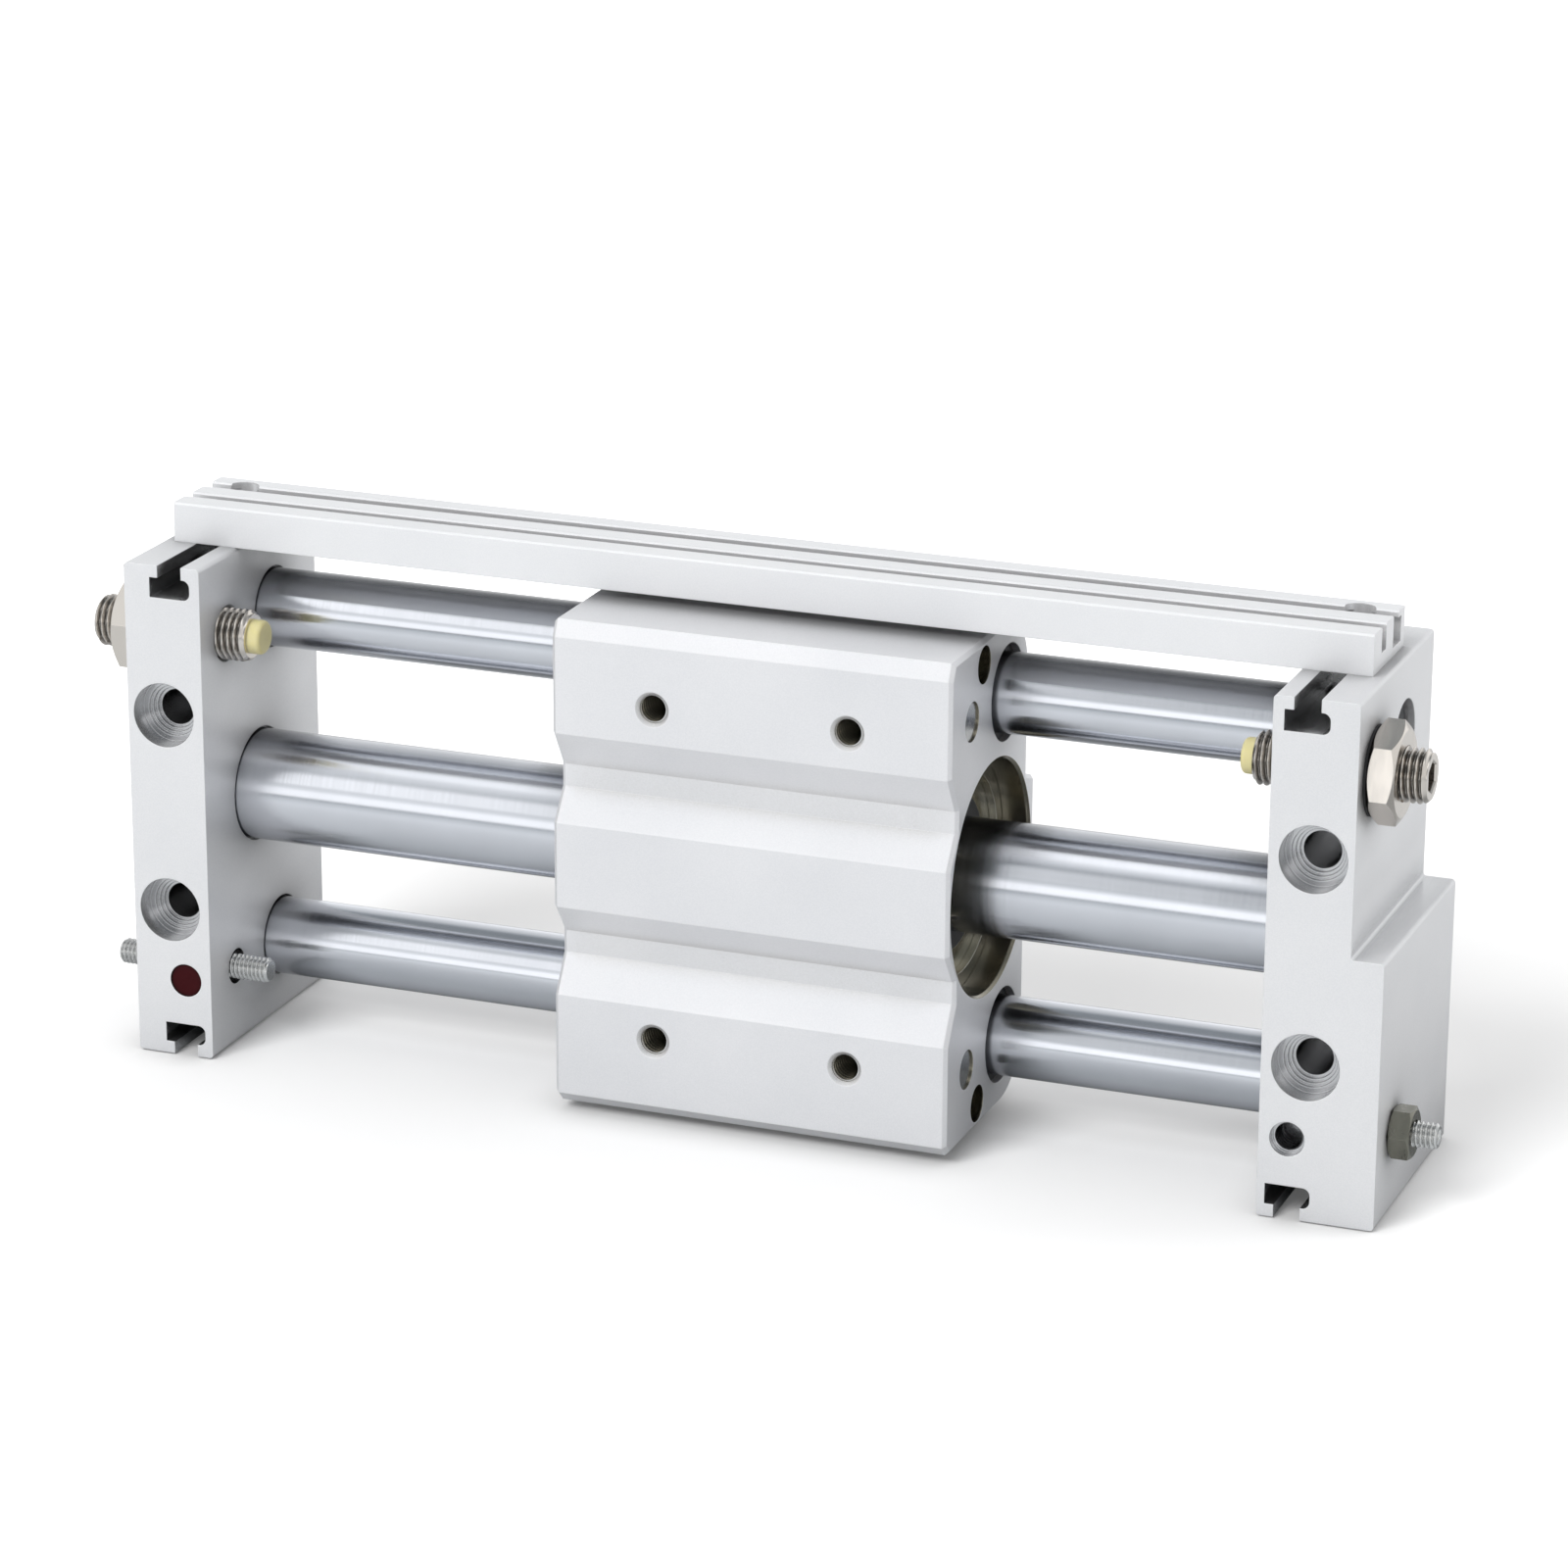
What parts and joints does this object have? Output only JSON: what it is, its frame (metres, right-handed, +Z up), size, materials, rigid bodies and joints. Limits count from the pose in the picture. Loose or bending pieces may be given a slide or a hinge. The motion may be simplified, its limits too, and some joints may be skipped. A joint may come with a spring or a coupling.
{
  "type": "magnetic rodless cylinder",
  "caption": "Magnetic rodless air cylinder: a slide block on guide rods between slotted end plates, with adjustable end stops and a sensor rail.",
  "frame": {"origin": "middle of the rectangle of mounting holes, in the plane of the end plates' back faces", "axes": "+X along the tube from the plain end plate to the stepped one, +Y from the slider's table face back to the mounting face, +Z up towards the sensor rail"},
  "size_m": [0.2093, 0.039, 0.0833],
  "materials": {
    "plate_aluminium": "satin anodised",
    "block_aluminium": "satin anodised",
    "rail_aluminium": "satin anodised",
    "tube_steel": "polished",
    "rod_chrome": "polished",
    "nickel_steel": "nickel plated",
    "zinc_steel": "zinc plated",
    "black_steel": "black oxide",
    "pin_steel": "ground",
    "seal_rubber": "matte",
    "bush_bronze": "sintered",
    "holder_plastic": "matte",
    "wear_plastic": "smooth",
    "magnet_material": "ground",
    "yoke_steel": "turned",
    "piston_aluminium": "turned",
    "tip_urethane": "smooth",
    "plug_red": "matte"
  },
  "bodies": {
    "frame": {"left_end_plate": "plate_aluminium", "right_end_plate": "plate_aluminium", "cylinder_tube": "tube_steel", "tube_end_seals": "seal_rubber", "upper_guide_rod": "rod_chrome", "lower_guide_rod": "rod_chrome", "guide_rod_screws": "black_steel", "rod_set_screw": "black_steel", "left_lock_nut": "nickel_steel", "right_lock_nut": "nickel_steel", "lock_nut_seal": "seal_rubber", "stop_bolt_nut": "zinc_steel", "port_plug": "plug_red", "sensor_rail": "rail_aluminium", "rail_screws": "zinc_steel", "rail_slot_nuts": "zinc_steel"},
    "slider": {"slide_block": "block_aluminium", "upper_guide_bushes": "bush_bronze", "lower_guide_bushes": "bush_bronze", "upper_rod_wipers": "seal_rubber", "lower_rod_wipers": "seal_rubber", "strike_pins": "pin_steel", "sensor_magnets": "magnet_material", "snap_rings": "black_steel", "magnet_holders": "holder_plastic", "tube_wipers": "seal_rubber", "slider_wear_rings": "wear_plastic", "slider_yokes": "yoke_steel", "slider_magnets": "magnet_material"},
    "piston": {"piston_shaft": "yoke_steel", "piston_yokes": "yoke_steel", "piston_magnets": "magnet_material", "pistons": "piston_aluminium", "piston_seals": "seal_rubber", "piston_wear_rings": "wear_plastic", "piston_bumpers": "tip_urethane", "piston_nuts": "yoke_steel"},
    "left_adjuster": {"left_adjusting_bolt": "nickel_steel", "left_bolt_tip": "tip_urethane"},
    "right_adjuster": {"right_adjusting_bolt": "nickel_steel", "right_bolt_tip": "tip_urethane"},
    "left_stop": {"left_stop_bolt": "zinc_steel"},
    "right_stop": {"right_stop_bolt": "zinc_steel"}
  },
  "joints": [
    {"name": "slider_travel", "type": "slide", "parent": "frame", "child": "slider", "axis": [1, 0, 0], "range_m": [-0.05, 0.04]},
    {"name": "piston_travel", "type": "slide", "parent": "frame", "child": "piston", "axis": [1, 0, 0], "range_m": [-0.05, 0.04]},
    {"name": "left_adjuster_feed", "type": "slide", "parent": "frame", "child": "left_adjuster", "axis": [-1, 0, 0], "range_m": [0, 0.006]},
    {"name": "right_adjuster_feed", "type": "slide", "parent": "frame", "child": "right_adjuster", "axis": [1, 0, 0], "range_m": [0, 0.006]},
    {"name": "left_stop_feed", "type": "slide", "parent": "frame", "child": "left_stop", "axis": [-1, 0, 0], "range_m": [0, 0.0055]},
    {"name": "right_stop_feed", "type": "slide", "parent": "frame", "child": "right_stop", "axis": [-1, 0, 0], "range_m": [0, 0.0035]}
  ],
  "couplings": [
    {"joint": "piston_travel", "follows": "slider_travel", "ratio": 1}
  ]
}
